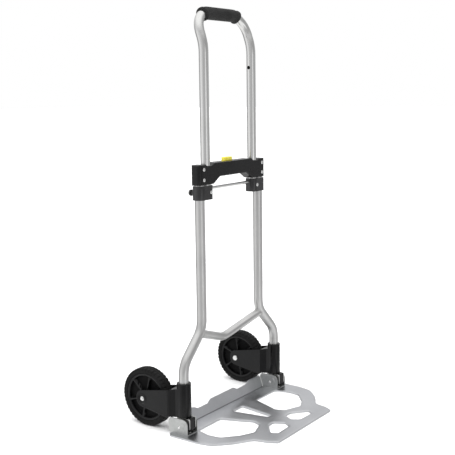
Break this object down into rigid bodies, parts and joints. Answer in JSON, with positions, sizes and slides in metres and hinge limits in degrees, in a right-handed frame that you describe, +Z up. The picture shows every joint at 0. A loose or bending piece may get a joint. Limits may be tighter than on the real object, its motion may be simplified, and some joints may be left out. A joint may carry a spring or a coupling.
{
  "type": "folding luggage cart",
  "caption": "Upright folding luggage cart with a telescoping loop handle, push-button crossbar, fold-in spoked wheels and a hinged, pierced toe plate.",
  "frame": {"origin": "centre of the bounding box, on the floor, with the cart open and the handle up", "axes": "+Z up along the frame tubes, +X to the cart's right, the toe plate points to -Y and the wheels to +Y"},
  "size_m": [0.488, 0.422, 1.057],
  "materials": {
    "steel_tube": "satin plated tube",
    "bright_steel": "bright zinc",
    "zinc_steel": "zinc-plated sheet",
    "plate_aluminium": "satin pressed sheet",
    "black_plastic": "fine textured moulding",
    "yellow_plastic": "satin moulding",
    "grip_rubber": "matt foam rubber",
    "nylon": "plain nylon",
    "tyre": "matt rubber"
  },
  "bodies": {
    "frame": {"frame_tube_left": "steel_tube", "frame_tube_right": "steel_tube", "frame_brace": "steel_tube", "crossbar_front": "black_plastic", "crossbar_rear": "black_plastic", "crossbar_screws": "bright_steel", "hinge_block_left": "black_plastic", "hinge_block_right": "black_plastic", "foot_plates_left": "zinc_steel", "foot_plates_right": "zinc_steel"},
    "handle": {"handle_tube": "steel_tube", "handle_grip": "grip_rubber", "slider_block_left": "black_plastic", "slider_block_right": "black_plastic", "slider_screws": "bright_steel", "slider_rod": "bright_steel", "cord_knob_left": "black_plastic", "cord_knob_right": "black_plastic"},
    "button": {"release_button": "yellow_plastic", "button_springs": "bright_steel"},
    "lock_left": {"lock_pin_left": "bright_steel"},
    "lock_right": {"lock_pin_right": "bright_steel"},
    "toe_plate": {"toe_plate": "plate_aluminium", "hinge_bracket_left": "zinc_steel", "hinge_bracket_right": "zinc_steel", "hinge_pin_left": "bright_steel", "hinge_pin_right": "bright_steel", "bracket_rivets": "bright_steel"},
    "fork_left": {"wheel_bracket_left": "black_plastic", "axle_left": "bright_steel", "axle_nut_left": "bright_steel"},
    "road_wheel_left": {"wheel_left": "black_plastic", "tyre_left": "tyre", "wheel_bush_left": "nylon"},
    "fork_right": {"wheel_bracket_right": "black_plastic", "axle_right": "bright_steel", "axle_nut_right": "bright_steel"},
    "road_wheel_right": {"wheel_right": "black_plastic", "tyre_right": "tyre", "wheel_bush_right": "nylon"}
  },
  "joints": [
    {"name": "handle_slide", "type": "slide", "parent": "frame", "child": "handle", "axis": [0, 0, -1], "range_m": [0, 0.258]},
    {"name": "button_press", "type": "slide", "parent": "frame", "child": "button", "axis": [0, 0, -1], "range_m": [0, 0.006], "stiffness_N_per_m": 500, "springref_m": -0.004, "deforming": ["button_springs"]},
    {"name": "lock_pin_left_slide", "type": "slide", "parent": "frame", "child": "lock_left", "axis": [1, 0, 0], "range_m": [0, 0.006]},
    {"name": "lock_pin_right_slide", "type": "slide", "parent": "frame", "child": "lock_right", "axis": [-1, 0, 0], "range_m": [0, 0.006]},
    {"name": "toe_plate_fold", "type": "hinge", "parent": "frame", "child": "toe_plate", "pos_m": [0, 0.01, 0.028], "axis": [-1, 0, 0], "range_deg": [0, 90]},
    {"name": "wheel_fold_left", "type": "hinge", "parent": "frame", "child": "fork_left", "pos_m": [-0.207, 0.019, 0.09], "axis": [0, 0, -1], "range_deg": [0, 90]},
    {"name": "wheel_spin_left", "type": "hinge", "parent": "fork_left", "child": "road_wheel_left", "pos_m": [-0.207, 0.135, 0.076], "axis": [1, 0, 0], "continuous": true},
    {"name": "wheel_fold_right", "type": "hinge", "parent": "frame", "child": "fork_right", "pos_m": [0.207, 0.019, 0.09], "axis": [0, 0, 1], "range_deg": [0, 90]},
    {"name": "wheel_spin_right", "type": "hinge", "parent": "fork_right", "child": "road_wheel_right", "pos_m": [0.207, 0.135, 0.076], "axis": [1, 0, 0], "continuous": true}
  ],
  "couplings": [
    {"joint": "lock_pin_left_slide", "follows": "button_press", "ratio": 1},
    {"joint": "lock_pin_right_slide", "follows": "button_press", "ratio": 1},
    {"joint": "wheel_fold_left", "follows": "toe_plate_fold", "ratio": 1},
    {"joint": "wheel_fold_right", "follows": "toe_plate_fold", "ratio": 1}
  ]
}
